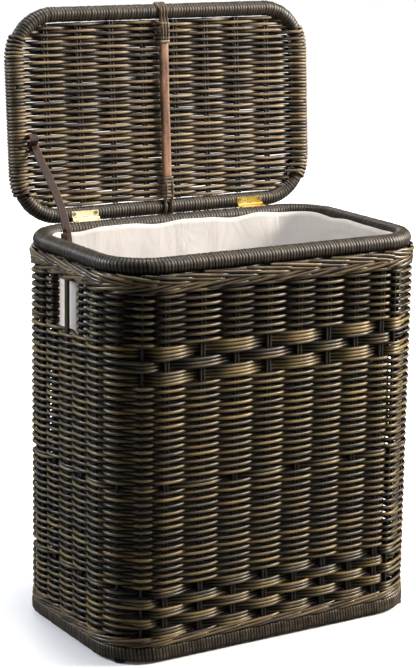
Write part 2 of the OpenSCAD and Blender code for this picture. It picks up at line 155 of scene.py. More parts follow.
class Bundle:
    """Collects tubes of reed and turns them into one mesh."""

    def __init__(self):
        self.verts, self.faces, self.grain, self.tone, self.wear_and_shade = [], [], [], [], []
        self.count = 0

    def add(self, pts, radius, seed, tone, closed=False, flat=1.0, up=(0, 0, 1), lift=0.0, inner=None):
        """A tube along pts, in millimetres. flat squeezes it along its own normal to up.
        lift is how far the rod stands out from the middle of the weave, and sets only how worn it looks and
        how much painted shade it gets. With inner, the direction of one face of the weave, lift is measured
        that way and the rods show on both faces."""
        pts = np.asarray(pts, float)
        n = len(pts)
        if closed:
            tan = np.roll(pts, -1, 0) - np.roll(pts, 1, 0)
        else:
            tan = np.gradient(pts, axis=0)
        tan /= np.linalg.norm(tan, axis=1)[:, None] + 1e-12
        up = np.broadcast_to(np.asarray(up, float), pts.shape)
        side = np.cross(tan, up)
        side /= np.linalg.norm(side, axis=1)[:, None] + 1e-12
        top = np.cross(side, tan)
        radius = np.broadcast_to(np.asarray(radius, float), (n,)).copy()
        if not closed:
            radius[[0, -1]] *= END_TAPER
        c, s = np.cos(angles(SIDES)), np.sin(angles(SIDES))
        ring = pts[:, None, :] + radius[:, None, None] * (
            side[:, None, :] * (c * flat)[None, :, None] + top[:, None, :] * s[None, :, None])
        step = np.linalg.norm(np.diff(pts, axis=0), axis=1)
        along = np.concatenate([[0.0], np.cumsum(step)])
        grain = np.zeros((n, SIDES, 3))
        grain[:, :, 0] = along[:, None]
        grain[:, :, 1] = radius[:, None] * c[None, :] + seed * 37.0
        grain[:, :, 2] = radius[:, None] * s[None, :] + seed * 11.0
        first = self.count
        self.faces.append(grid(n, SIDES, closed) + first)
        self.verts.append(ring.reshape(-1, 3))
        self.grain.append(grain.reshape(-1, 3))
        tone = np.broadcast_to(np.asarray(tone, float), (n,))
        self.tone.append(np.repeat(tone, SIDES))
        lift = np.broadcast_to(np.asarray(lift, float), (n,))
        # How worn each face of the rod looks, and how much painted shade it gets: the further in it lies, the
        # darker it is painted
        if inner is None:
            wear_and_shade = lift[:, None] + radius[:, None] * c[None, :]
        else:
            turned = (ring - pts[:, None, :]) @ np.asarray(inner, float)
            wear_and_shade = 2.0 + (lift[:, None] + turned) * np.clip(3.0 * turned / radius[:, None], -1, 1)
        # Painted shade at the rod's top and bottom, where it lies against the rods above and below
        ridge = (0.25 + 0.75 * np.abs(c) ** 0.8)[None, :]
        self.wear_and_shade.append((smooth(0.5 + wear_and_shade / WEAR_AND_SHADE_SPAN) * ridge).ravel())
        self.count += n * SIDES
        if not closed:
            for row, way in ((0, -1), (n - 1, 1)):
                self.verts.append((pts[row] + tan[row] * (radius[row] * way * END_DOME))[None, :])
                self.grain.append(np.array([[along[row], seed * 37.0, seed * 11.0]]))
                self.tone.append(np.array([tone[row]]))
                self.wear_and_shade.append(np.array([END_WEAR_AND_SHADE]))
                self.faces.append(fan(first + row * SIDES, SIDES, self.count, row == 0))
                self.count += 1

    def build(self, name, material):
        verts, faces, grain, tone, wear_and_shade = map(np.concatenate, (
            self.verts, self.faces, self.grain, self.tone, self.wear_and_shade))
        return mesh_from(name, verts * MM, faces, material, grain * MM, tone, wear_and_shade)


def attribute(mesh, name, values):
    """Stores a number or a vector for each point of the mesh."""
    values = np.asarray(values, np.float32)
    kind, key = ("FLOAT", "value") if values.ndim == 1 else ("FLOAT_VECTOR", "vector")
    mesh.attributes.new(name, kind, "POINT").data.foreach_set(key, values.ravel())


def mesh_from(name, verts, faces, material, grain=None, tone=None, wear_and_shade=None):
    """A mesh from arrays. A face whose last two corners are the same is a triangle."""
    mesh = bpy.data.meshes.new(name)
    tri = faces[:, 2] == faces[:, 3]
    sizes = np.where(tri, 3, 4)
    loops = faces[np.arange(4)[None, :] < sizes[:, None]]
    mesh.vertices.add(len(verts))
    mesh.vertices.foreach_set("co", np.asarray(verts, np.float32).ravel())
    mesh.loops.add(len(loops))
    mesh.loops.foreach_set("vertex_index", loops.astype(np.int32))
    mesh.polygons.add(len(faces))
    starts = np.concatenate([[0], np.cumsum(sizes)[:-1]])
    mesh.polygons.foreach_set("loop_start", starts.astype(np.int32))
    mesh.update(calc_edges=True)
    mesh.validate()
    mesh.polygons.foreach_set("use_smooth", np.ones(len(mesh.polygons), bool))
    for key, values in (("grain", grain), ("tone", tone), ("wear_and_shade", wear_and_shade)):
        if values is not None:
            attribute(mesh, key, values)
    obj = bpy.data.objects.new(name, mesh)
    bpy.context.scene.collection.objects.link(obj)
    mesh.materials.append(material)
    return obj


# ---------------------------------------------------------------- materials
def new_material(name):
    mat = bpy.data.materials.new(name)
    mat.use_nodes = True
    nt = mat.node_tree
    nt.nodes.clear()
    out = nt.nodes.new("ShaderNodeOutputMaterial")
    bsdf = nt.nodes.new("ShaderNodeBsdfPrincipled")
    nt.links.new(bsdf.outputs[0], out.inputs[0])
    return mat, nt, bsdf


def put(nt, n, inputs):
    """Fills a node's inputs. A socket is linked, and anything else is set as the value."""
    for key, value in inputs.items():
        if isinstance(value, bpy.types.NodeSocket):
            nt.links.new(value, n.inputs[key])
        else:
            n.inputs[key].default_value = value


def node(nt, kind, inputs=None, **props):
    n = nt.nodes.new(kind)
    for key, value in props.items():
        setattr(n, key, value)
    put(nt, n, inputs or {})
    return n


def calc(nt, kind, *values):
    return node(nt, "ShaderNodeMath", dict(enumerate(values)), operation=kind).outputs[0]


def noise(nt, vector, scale, detail, **more):
    inputs = {"Vector": vector, "Scale": scale, "Detail": detail, **more}
    return node(nt, "ShaderNodeTexNoise", inputs).outputs["Fac"]


def bumped(nt, height, strength, distance, **more):
    inputs = {"Height": height, "Strength": strength, "Distance": distance, **more}
    return node(nt, "ShaderNodeBump", inputs).outputs[0]


def scaled(nt, vector, scale):
    return node(nt, "ShaderNodeMapping", {0: vector, "Scale": scale}).outputs[0]


def dimmed(nt, colour, share):
    return node(nt, "ShaderNodeVectorMath", {0: colour, "Scale": share}, operation="SCALE").outputs[0]


def stored(nt, name, kind="Fac"):
    """What attribute() stored on the mesh's points."""
    return node(nt, "ShaderNodeAttribute", attribute_name=name).outputs[kind]


def in_object(nt):
    return node(nt, "ShaderNodeTexCoord").outputs["Object"]


def hexed(text):
    """A linear colour from an sRGB hex value."""
    rgb = [int(text[i:i + 2], 16) / 255 for i in (0, 2, 4)]
    return tuple(v / 12.92 if v <= 0.04045 else ((v + 0.055) / 1.055) ** 2.4 for v in rgb)


def ramp(nt, fac, stops):
    """Colours by level. A stop is its level and an sRGB hex value."""
    n = node(nt, "ShaderNodeValToRGB", {0: fac})
    while len(n.color_ramp.elements) < len(stops):
        n.color_ramp.elements.new(0.5)
    for e, (p, c) in zip(n.color_ramp.elements, stops):
        e.position = p
        e.color = (*hexed(c), 1)
    return n.outputs[0]


# Shares of the fibre's streaks, the patches, the rod's own tone and its wear in the level that picks the
# colour, and what comes off their sum
STREAKS, PATCHES, OWN_TONE, WORN, LEVEL_START = 0.35, 0.65, 0.4, 0.34, 0.38
# Painted shade: how much of its colour a rod keeps in the depth of the weave
DEEP_SHADE = 0.21   # share of its colour that a rod keeps in the depth of the weave
WORN_SHINE, WORN_COAT, COAT_ROUGH = 0.5, 0.16, 0.32


def reed_material(name, dark, mid, light, rough):
    """Stained reed: long streaks along the fibre, patches of tone and worn light stretches, with painted
    shade that darkens it toward the depth of the weave.
    """
    mat, nt, bsdf = new_material(name)
    grain, tone, wear_and_shade = stored(nt, "grain", "Vector"), stored(nt, "tone"), stored(nt, "wear_and_shade")
    fine = noise(nt, scaled(nt, grain, (30, 900, 900)), 1.0, 3.0, Roughness=0.6)
    patch = noise(nt, scaled(nt, grain, (22, 60, 60)), 1.0, 3.0, Roughness=0.55)
    level = calc(nt, "MULTIPLY", fine, STREAKS)
    for value, share in ((patch, PATCHES), (tone, OWN_TONE), (wear_and_shade, WORN)):
        level = calc(nt, "MULTIPLY_ADD", value, share, level)
    level = calc(nt, "SUBTRACT", level, LEVEL_START)
    colour = ramp(nt, level, [(0.2, dark), (0.5, mid), (0.86, light)])
    shine = calc(nt, "MULTIPLY", wear_and_shade, wear_and_shade)
    put(nt, bsdf, {
        # Painted shade: the colour is dimmed where the rod lies deep in the weave
        "Base Color": dimmed(nt, colour, calc(nt, "MULTIPLY_ADD", wear_and_shade, 1 - DEEP_SHADE, DEEP_SHADE)),
        "Roughness": calc(nt, "MULTIPLY_ADD", fine, 0.3, rough - 0.15),
        "Normal": bumped(nt, fine, 0.35, 0.0006),
        "Specular IOR Level": calc(nt, "MULTIPLY", shine, WORN_SHINE),
        "Coat Weight": calc(nt, "MULTIPLY", shine, WORN_COAT), "Coat Roughness": COAT_ROUGH})
    return mat


def object_material(name, stops, rough, metal=0.0, scale=40.0, bump=0.1, stretch=(1, 1, 1)):
    """A material for a solid: tone from noise in object space, with a fine bump."""
    mat, nt, bsdf = new_material(name)
    at = scaled(nt, in_object(nt), stretch)
    coarse, fine = noise(nt, at, scale, 5.0), noise(nt, at, scale * 12, 3.0)
    level = calc(nt, "MULTIPLY_ADD", coarse, 0.75, calc(nt, "MULTIPLY", fine, 0.35))
    put(nt, bsdf, {
        "Base Color": ramp(nt, level, stops), "Metallic": metal,
        "Roughness": calc(nt, "MULTIPLY_ADD", fine, 0.25, rough - 0.12),
        "Normal": bumped(nt, fine, bump, 0.0005)})
    return mat


M_WEAVE = reed_material("reed_weave", "080706", "39332A", "8F7A49", rough=0.44)
M_LID = reed_material("reed_lid", "0B0A09", "332D27", "947E5C", rough=0.54)
M_BORDER = reed_material("reed_border", "0A0908", "2B241D", "7E6B4A", rough=0.38)
M_PEEL = reed_material("reed_peel", "0A0908", "1A150F", "443824", rough=0.56)
M_FOOT = reed_material("reed_foot", "0A0908", "28221C", "5E503B", rough=0.5)
UPRIGHT = (1, 1, 0.1)   # drawn out along Z, as the fibre of an upright is
M_STAKE = object_material("reed_stake", [(0.3, "070605"), (0.7, "17120E")], 0.5, stretch=UPRIGHT)
# The bare uprights by the windows: a lighter copy of the uprights' reed, as a painted highlight
M_BARE_LIT = object_material("reed_bare_lit", [(0.3, "1B1712"), (0.7, "4C402A")], 0.5, stretch=UPRIGHT)
M_SOLID = object_material("reed_solid", [(0.3, "070605"), (0.7, "15110E")], 0.6)


# ---------------------------------------------------------------- uprights
wall = Loop(WALL_W - WALL_T, WALL_D - WALL_T, WALL_R - WALL_T / 2)
CX, CY, CR = WALL_W / 2 - WALL_R, WALL_D / 2 - WALL_R, WALL_R - WALL_T / 2
# The uprights stand a little closer together toward the back and toward the right
SIDE_Y = [-87 + 46.5 * k - 0.9 * k * k for k in range(5)]
FRONT_X = [-195 + 61.3 * k - 1.0 * k * k for k in range(8)]
LEFT_ANGLES, RIGHT_ANGLES = (29, 56), (13, 50)


def stake_places():
    """Distances along the wall of the thirty-four uprights, in order, from the back of the left side."""
    arc = lambda deg: CR * math.radians(deg)
    st = wall.starts
    out = [CY - y for y in reversed(SIDE_Y)]
    out += [st[1] + arc(90 - LEFT_ANGLES[1]), st[1] + arc(90 - LEFT_ANGLES[0])]
    out += [st[2] + CX + x for x in FRONT_X]
    out += [st[3] + arc(RIGHT_ANGLES[0]), st[3] + arc(RIGHT_ANGLES[1])]
    out += [st[4] + CY + y for y in SIDE_Y]
    out += [st[5] + arc(90 - RIGHT_ANGLES[1]), st[5] + arc(90 - RIGHT_ANGLES[0])]
    out += [st[6] + CX - x for x in reversed(FRONT_X)]
    out += [st[7] + arc(LEFT_ANGLES[0]), st[7] + arc(LEFT_ANGLES[1])]
    return np.array(out)


PLACES = stake_places()
COUNT = len(PLACES)
BAND_UPRIGHTS = ((6, 15), (23, 32))   # the front's and the back's, where the bands are woven by threes
SLACK = {5, 15, 22, 32}   # bays, by their first upright, where a rod rests midway between its two sides


def place(k):
    """Distance along the wall at a whole or fractional upright number."""
    k = np.asarray(k, float)
    i = np.floor(k).astype(int)
    f = k - i
    turn0, turn1 = np.floor_divide(i, COUNT), np.floor_divide(i + 1, COUNT)
    a = PLACES[i % COUNT] + turn0 * wall.total
    b = PLACES[(i + 1) % COUNT] + turn1 * wall.total
    return a + (b - a) * f


def side_of(k, row, band):
    """+1 where this row passes outside upright k, -1 inside. In a band the rods go by threes."""
    k = k % COUNT
    in_band = any(low <= k <= high for low, high in BAND_UPRIGHTS)
    if band and in_band:
        return 1 if (k + 1 + row // 3) % 2 == 0 else -1
    return 1 if (k + row) % 2 == 0 else -1


def weave_offset(kf, row, band):
    """How far out the rod lies, from -1 to 1, at fractional upright numbers kf."""
    i = np.floor(kf).astype(int)
    f = kf - i
    a = np.array([side_of(k, row, band) for k in i])
    b = np.array([side_of(k + 1, row, band) for k in i])
    c = np.cos(math.pi * f)
    wave = c * (1.4 - 0.4 * c * c)
    loose = np.where(f < 0.5, smooth(1 - f / 0.42), -smooth(1 - (1 - f) / 0.42))
    slack = np.array([(k % COUNT) in SLACK for k in i])
    wave = np.where(slack, loose, wave)
    return np.where(a == b, a * (1 - 0.35 * np.sin(math.pi * f) ** 2), (a - b) / 2 * wave)


OUT, IN = 5.3, 4.4   # how far a rod lies outside or inside the middle of the wall, at an upright
PER_BAY = 10
REED_R, WINDOW_REED_R, STROKE_R = 2.85, 2.8, 2.8


def row_points(k0, k1, z, row, band, rng, jitter=0.35):
    """Points of one rod from upright k0 to k1, at height z."""
    n = int(round(abs(k1 - k0) * PER_BAY))
    kf = np.linspace(k0, k1, n + 1)
    s = place(kf)
    o = weave_offset(kf, row, band)
    o = np.where(o > 0, o * OUT, o * IN) + Wobble(rng, 37.0, 0.35).at(s)
    x, y, nx, ny = wall.at(s)
    zz = z + Wobble(rng, 45.0, jitter).at(s)
    return np.stack([x + nx * o, y + ny * o, np.broadcast_to(zz, x.shape)], 1), o


def closed_rows(bundle, z0, z1, count, first_row, band, rng):
    pitch = (z1 - z0) / count
    for r in range(count):
        z = z1 - pitch * (r + 0.5)
        pts, lift = row_points(0, COUNT, z, first_row + r, band, rng)
        tone = rng.uniform(0.15, 0.85)
        bundle.add(pts[:-1], REED_R * rng.uniform(0.95, 1.03), rng.uniform(0, 50), tone, closed=True,
                   lift=lift[:-1])


rng = np.random.default_rng(11)

lower = Bundle()
closed_rows(lower, BAND_LOW, BAND_TOP, 15, 0, True, rng)
lower_band = lower.build("lower_band_reeds", M_WEAVE)

main_a, main_b = Bundle(), Bundle()
MID_Z = BAND_TOP + (UPPER_LOW - BAND_TOP) * 29 / 59
closed_rows(main_a, BAND_TOP, MID_Z, 29, 0, False, rng)
closed_rows(main_b, MID_Z, UPPER_LOW, 30, 1, False, rng)
main_low = main_a.build("main_reeds_low", M_WEAVE)
main_high = main_b.build("main_reeds_high", M_WEAVE)

upper = Bundle()
closed_rows(upper, UPPER_LOW, UPPER_TOP, 9, 0, True, rng)
upper_band = upper.build("upper_band_reeds", M_WEAVE)

# The rows beside the hand windows go to and fro between the two windows
top = Bundle()
WINDOW_LOW, WINDOW_ROWS = UPPER_TOP + 5.4, 14
closed_rows(top, UPPER_TOP, WINDOW_LOW, 1, 1, False, rng)
WINDOW_PITCH = (BORDER_LOW - WINDOW_LOW) / WINDOW_ROWS
# The turns' lift is not where they lie: it only sets how worn they look and how much painted shade they get
TURN_R, TURN_SHIFT, TURN_LIFT = 5.0, 2.6, -2.0
TURN_WIDTH, BARE_TURN_WIDTH = 0.9, 0.55


def turn_points(k_end, inward, z0, z1, turns, bare):
    """The rod goes round the last upright of a row, from outside to inside, in so many half turns.
    At a bare end it turns back sooner, so that less of it stands out into the window."""
    s_end = float(place(k_end))
    s_c = s_end + inward * TURN_SHIFT * (1 if bare else -1)
    t = np.linspace(0, 1, 8 * turns + 1)[1:-1]
    a = t * math.pi * turns
    s = s_c - inward * np.sin(a) * TURN_R * (BARE_TURN_WIDTH if bare else TURN_WIDTH)
    o = np.cos(a) * TURN_R
    x, y, nx, ny = wall.at(s)
    return np.stack([x + nx * o, y + ny * o, z0 + (z1 - z0) * t], 1)


def to_and_fro(bundle, k0, k1, bare0, bare1, rng):
    pts, lifts = [], []
    for r in range(WINDOW_ROWS):
        z = WINDOW_LOW + WINDOW_PITCH * (r + 0.5)
        forward = r % 2 == 0
        a, b = (k0, k1) if forward else (k1, k0)
        row, lift = row_points(a, b, z, parity_row(k0, r), False, rng)
        pts.append(row)
        lifts.append(lift)
        if r < WINDOW_ROWS - 1:
            end, bare, inward = (k1, bare1, -1) if forward else (k0, bare0, 1)
            pts.append(turn_points(end, inward, z, z + WINDOW_PITCH, 1 if bare else 3, bare))
            lifts.append(np.full(len(pts[-1]), TURN_LIFT))
    bundle.add(np.concatenate(pts), WINDOW_REED_R, rng.uniform(0, 50), 0.5, lift=np.concatenate(lifts))


def parity_row(k0, r):
    """The row number that starts inside at k0 going forward and arrives outside at the far end."""
    first = 0 if side_of(k0, 0, False) < 0 else 1
    return first + r


FRONT_END_L, FRONT_END_R = 3, 18
BACK_START, BACK_END = 20, COUNT + 1
to_and_fro(top, FRONT_END_L, FRONT_END_R, True, True, rng)
to_and_fro(top, BACK_START, BACK_END, False, False, rng)
top_reeds = top.build("top_reeds", M_WEAVE)


# ---------------------------------------------------------------- border and base braid
def strokes(bundle, z0, z1, bays, shape, rng, start=0.0, spread=2.9):
    """A pair of rods from each upright, laid over the next ones along the wall. shape says how far out."""
    for k in range(COUNT):
        for j in (-1, 1):
            t = np.linspace(0, 1, 30)
            s = place(k + start + bays * t + 0.05 * j)
            o = shape(t) + 0.6 * j * (1 if z0 > z1 else -1)
            apart = spread * (1 - 0.25 * np.abs(2 * t - 1) ** 3)
            z = z0 + (z1 - z0) * (0.4 * t + 0.6 * smooth(t)) + j * apart
            x, y, nx, ny = wall.at(s)
            pts = np.stack([x + nx * o, y + ny * o, z + Wobble(rng, 30.0, 0.3).at(s)], 1)
            tone = rng.uniform(0.2, 0.95)
            bundle.add(pts, STROKE_R * rng.uniform(0.93, 1.04), rng.uniform(0, 50), tone, lift=o + 0.5)


border = Bundle()
closed_rows(border, BORDER_LOW, BORDER_TOP + 3, 6, 1, False, rng)
strokes(border, BORDER_TOP - 1.0, BORDER_TOP - 9.0, 1.95,
        lambda t: 3.0 + 4.0 * smooth(t / 0.3) - 6.0 * smooth((t - 0.78) / 0.22), rng, start=-0.1)
strokes(border, BORDER_LOW + 3.0, BORDER_TOP - 9.5, 2.55,
        lambda t: -2.0 + 7.6 * smooth(t / 0.4) - 5.0 * smooth((t - 0.78) / 0.22), rng, start=0.35)
border_reeds = border.build("border_reeds", M_BORDER)

braid = Bundle()
closed_rows(braid, BASE_TOP, BAND_LOW, 2, 0, False, rng)
strokes(braid, BASE_TOP + 2.0, BAND_LOW - 2.0, 2.5,
        lambda t: -1.0 + 6.6 * smooth(t / 0.35) - 5.5 * smooth((t - 0.8) / 0.2), rng, start=0.1, spread=2.6)
braid_reeds = braid.build("base_braid_reeds", M_BORDER)


# ---------------------------------------------------------------- wrapped rings
AROUND, PER_TURN = 36, 6             # points round a wrapped pole, and along it in one turn of the peel
PEEL_DEPTH, PEEL_LEAN = 0.65, 0.25   # depth of the grooves, and a turn's slant as a share of the pitch


def wrapped(name, path_at, length, outline, pitch, material, seed, closed=True):
    """Peel wound round a pole: a ridged skin. outline(angle) gives (out, up) for the section."""
    r = np.random.default_rng(seed)
    turns = int(round(length / pitch))
    n = turns * PER_TURN
    s = np.arange(n + (0 if closed else 1)) / n * length
    ang = angles(AROUND)
    out, up = outline(ang)
    size = np.hypot(out, up)
    phase = s[:, None] / length * turns + PEEL_LEAN * np.sin(ang)[None, :]
    frac = phase - np.floor(phase)
    index = np.floor(phase).astype(int) % turns
    bulge = r.uniform(-0.28, 0.28, turns)
    shade = r.uniform(0.3, 0.7, turns)
    for g in range(0, turns, 17):
        shade[g:g + r.integers(4, 17)] += r.uniform(-0.12, 0.12)
    ridge = PEEL_DEPTH * (np.abs(np.sin(math.pi * frac)) ** 0.55 - 1.0) + bulge[index]
    scale = 1 + ridge / size[None, :]
    px, py, pz, nx, ny, nz, bx, by, bz = path_at(s)
    o, u = out[None, :] * scale, up[None, :] * scale
    verts = np.stack([px[:, None] + nx[:, None] * o + bx[:, None] * u,
                      py[:, None] + ny[:, None] * o + by[:, None] * u,
                      pz[:, None] + nz[:, None] * o + bz[:, None] * u], -1)
    grain = np.stack([np.broadcast_to((ang * size)[None, :], frac.shape),
                      frac * 5.0 + index * 7.3, np.broadcast_to(index * 3.1, frac.shape)], -1)
    tone = np.clip(shade[index] - 0.5 * (np.abs(frac - 0.5) > 0.42), 0, 1)
    faces = grid(len(s), AROUND, closed)[:, [0, 3, 2, 1]]
    # Painted shade in the grooves between the turns of peel: the lower the skin, the darker it is painted
    wear_and_shade = 0.3 + 0.7 * smooth(1 + (ridge - bulge[index]) / (PEEL_DEPTH * 0.9))
    return mesh_from(name, verts.reshape(-1, 3) * MM, faces, material, grain.reshape(-1, 3) * MM,
                     tone.ravel(), np.broadcast_to(wear_and_shade, frac.shape).ravel())


def ring_path(loop, z):
    def at(s):
        x, y, nx, ny = loop.at(s)
        zero, one = np.zeros_like(x), np.ones_like(x)
        return x, y, zero + z, nx, ny, zero, zero, zero, one
    return at


def round_section(r):
    return lambda a: (r * np.cos(a), r * np.sin(a))


def box_section(w, h, power=4.0):
    """A squarish section with soft corners."""
    def at(a):
        c, s = np.cos(a), np.sin(a)
        q = (np.abs(c * 2 / w) ** power + np.abs(s * 2 / h) ** power) ** (-1 / power)
        return q * c, q * s
    return at


PEEL_PITCH, RIM_PEEL_PITCH, BASE_THICK = 5.0, 5.2, 18.0
rim_loop = Loop(RIM_W - 2 * RIM_TUBE, RIM_DEPTH - 2 * RIM_TUBE, RIM_R - RIM_TUBE)
rim = wrapped("rim_peel", ring_path(rim_loop, RIM_TOP - RIM_TUBE), rim_loop.total,
              round_section(RIM_TUBE), RIM_PEEL_PITCH, M_PEEL, 3)
base_loop = Loop(BASE_W - BASE_THICK, BASE_D - BASE_THICK, BASE_R - BASE_THICK / 2)
base = wrapped("base_peel", ring_path(base_loop, (BASE_LOW + BASE_TOP) / 2), base_loop.total,
               box_section(BASE_THICK, BASE_TOP - BASE_LOW), PEEL_PITCH, M_FOOT, 5)


# ---------------------------------------------------------------- lid
COS, SIN = math.cos(math.radians(LID_OPEN)), math.sin(math.radians(LID_OPEN))


def opened(points):
    """Points of the closed lid, turned open about the hinge line."""
    p = np.array(points, float)
    y, z = p[..., 1] - HINGE_Y, p[..., 2] - HINGE_Z
    p[..., 1] = HINGE_Y + y * COS + z * SIN
    p[..., 2] = HINGE_Z - y * SIN + z * COS
    return p


def opened_dir(v):
    v = np.asarray(v, float)
    out = v.copy()
    out[..., 1] = v[..., 1] * COS + v[..., 2] * SIN
    out[..., 2] = -v[..., 1] * SIN + v[..., 2] * COS
    return out


LID_CX, LID_CY = LID_LINE_W / 2 - LID_LINE_R, LID_LINE_D / 2 - LID_LINE_R
LID_X = [-206 + 57.5 * k for k in range(8)]
LID_ROWS = 55
LID_V0, LID_V1 = LID_MID_Y - 142.0, LID_MID_Y + 142.0
LID_PITCH = (LID_V1 - LID_V0) / LID_ROWS
SLEEVE_REACH = math.radians(31)
COIL_DRIFT = 1.25    # how far a row has drifted along its pole where it starts to coil
END_CROSS = 0.72     # share of the bay beside a pole in which a rod crosses to the other face
LID_REACH, LID_REED, LID_SWELL = 4.4, 2.65, 0.22


def pole_at(v, side):
    """Where the lid's side pole is level with v: its centre and outward direction in the lid's plane."""
    dv = v - LID_MID_Y
    over = abs(dv) - LID_CY
    a = math.asin(min(max(over, 0.0) / LID_LINE_R, 1.0))
    sgn = 1.0 if dv > 0 else -1.0
    cx = side * (LID_CX + LID_LINE_R * math.cos(a))
    return cx, (side * math.cos(a), sgn * math.sin(a)), a


lid_rng = np.random.default_rng(29)
LOOSE_ROWS = {int(k): lid_rng.uniform(-230, 230) for k in lid_rng.choice(LID_ROWS, 16, replace=False)}
COIL_R, BEND_R = POLE_R + 2.3, 2.6   # the rod's bend round a pole, and where there is no pole


def lid_row(i, rng):
    """Points of lid row i from left to right, closed position."""
    v = LID_V1 - LID_PITCH * (i + 0.5)
    left, right = pole_at(v, -1)[0], pole_at(v, 1)[0]
    sleeved = pole_at(v, 1)[2] < SLEEVE_REACH
    if not sleeved:
        over = min(abs(v - LID_MID_Y) - LID_CY, LID_LINE_R - RAIL_R - 1)
        right = LID_CX + math.sqrt((LID_LINE_R - RAIL_R + 3) ** 2 - over ** 2)
        left = -right
    stops = [left] + LID_X + [right]
    signs = [(-1) ** (k + 1 + i) for k in range(len(stops))]
    end_reach = COIL_R if sleeved else BEND_R
    reach = [end_reach] + [LID_REACH] * 8 + [end_reach]
    xs, ws = [], []
    for a in range(len(stops) - 1):
        if stops[a + 1] - stops[a] < 8:
            continue
        f = np.linspace(0, 1, 11)[:-1]
        reached = END_CROSS if sleeved and a in (0, len(stops) - 2) else 1.0
        along = f / reached if a == 0 else 1 - (1 - f) / reached
        c = np.cos(math.pi * np.clip(along, 0, 1))
        c = c * (1.35 - 0.35 * c * c)
        w0, w1 = signs[a] * reach[a], signs[a + 1] * reach[a + 1]
        xs.append(stops[a] + (stops[a + 1] - stops[a]) * f)
        ws.append((w0 + w1) / 2 + (w0 - w1) / 2 * c)
    xs.append(np.array([stops[-1]]))
    ws.append(np.array([signs[-1] * reach[-1]]))
    x, w = np.concatenate(xs), np.concatenate(ws)
    drift = COIL_DRIFT * (1 if i % 2 == 0 else -1) * (1 if sleeved else 0)
    vv = v + drift * (smooth((x - right + 45) / 40) - smooth((left - x + 45) / 40))
    vv = vv + Wobble(rng, 33.0, 0.35).at(x + 400)
    if i in LOOSE_ROWS:
        vv = vv + 1.1 * np.exp(-((x - LOOSE_ROWS[i]) / 26.0) ** 2)
    return np.stack([x, vv, LID_Z + w], 1), signs, sleeved


def pole_turn(v0, v1, side, sign, halves):
    """The rod goes round the side pole from one face of the lid to the other."""
    t = np.linspace(0, 1, 9 * halves + 1)[1:-1]
    a = t * math.pi * halves
    pts = []
    for ti, ai in zip(t, a):
        v = v0 + (v1 - v0) * ti
        cx, (dx, dv), arc = pole_at(v, side)
        vc = LID_MID_Y + (1 if dv > 0 else -1) * (LID_CY + LID_LINE_R * abs(dv)) if arc > 0 else v
        out = math.sin(ai) * COIL_R
        pts.append((cx + dx * out, vc + dv * out, LID_Z + sign * math.cos(ai) * COIL_R))
    return np.array(pts)


def build_lid_reeds():
    bundles = [Bundle(), Bundle()]
    pts = []
    for i in range(LID_ROWS):
        row, signs, sleeved = lid_row(i, lid_rng)
        forward = i % 2 == 0
        pts.append(row if forward else row[::-1])
        if i < LID_ROWS - 1:
            side = 1 if forward else -1
            sign = signs[-1] if forward else signs[0]
            v = LID_V1 - LID_PITCH * (i + 0.5)
            both = sleeved and pole_at(v - LID_PITCH, side)[2] < SLEEVE_REACH
            if both:
                pts.append(pole_turn(v + COIL_DRIFT, v - LID_PITCH - COIL_DRIFT, side, sign, 3))
            else:
                end = pts[-1][-1]
                a = np.linspace(0, math.pi, 9)[1:-1]
                bend = COIL_R if sleeved else BEND_R
                pts.append(np.stack([end[0] + side * np.sin(a) * bend,
                                     end[1] - LID_PITCH * (1 - np.cos(a)) / 2,
                                     LID_Z + sign * np.cos(a) * bend], 1))
        if i % 9 == 8 or i == LID_ROWS - 1:
            line = np.concatenate(pts)
            t = 0.52 + 0.34 * Wobble(lid_rng, 90.0, 1.0).at(np.arange(len(line)) * 5.0)
            off = np.abs(line[:, 2] - LID_Z)
            swell = LID_REED + LID_SWELL * smooth(off / LID_REACH) * (1 - smooth((off - 5.0) / 4.0))
            bundles[0 if i < LID_ROWS / 2 else 1].add(opened(line), swell, lid_rng.uniform(0, 50), t,
                                                      up=opened_dir([0, -1, 0]), lift=LID_Z - line[:, 2],
                                                      inner=opened_dir([0, 0, -1]))
            pts = [pts[-1][-1:]] if len(pts[-1]) else []
    return [b.build(f"lid_reeds_{k}", M_LID) for k, b in enumerate(bundles)]


lid_reeds = build_lid_reeds()


def rail_path(sign):
    """One long rail of the lid with its two corners, as far as the sleeves. sign is 1 for the back."""
    line = Loop(LID_LINE_W, LID_LINE_D, LID_LINE_R, LID_MID_Y)
    arc = LID_LINE_R * (math.pi / 2 - math.radians(27))
    straight = LID_LINE_W - 2 * LID_LINE_R
    length = straight + 2 * arc
    start = line.starts[6] - arc if sign > 0 else line.starts[2] - arc

    def at(s):
        x, y, nx, ny = line.at(start + s)
        p = opened(np.stack([x, y, np.full_like(x, LID_Z)], 1))
        n = opened_dir(np.stack([nx, ny, np.zeros_like(nx)], 1))
        b = opened_dir(np.stack([np.zeros_like(nx), np.zeros_like(nx), np.ones_like(nx)], 1))
        return (p[:, 0], p[:, 1], p[:, 2], n[:, 0], n[:, 1], n[:, 2], b[:, 0], b[:, 1], b[:, 2])
    return at, length


rail_parts = []
for sign, label in ((-1, "front"), (1, "back")):
    at, length = rail_path(sign)
    rail_parts.append(wrapped(f"lid_{label}_peel", at, length, round_section(RAIL_R), PEEL_PITCH, M_PEEL,
                              7 + sign, closed=False))


# ---------------------------------------------------------------- brace and lashings
BOW = 0.8   # how far the brace strays from straight


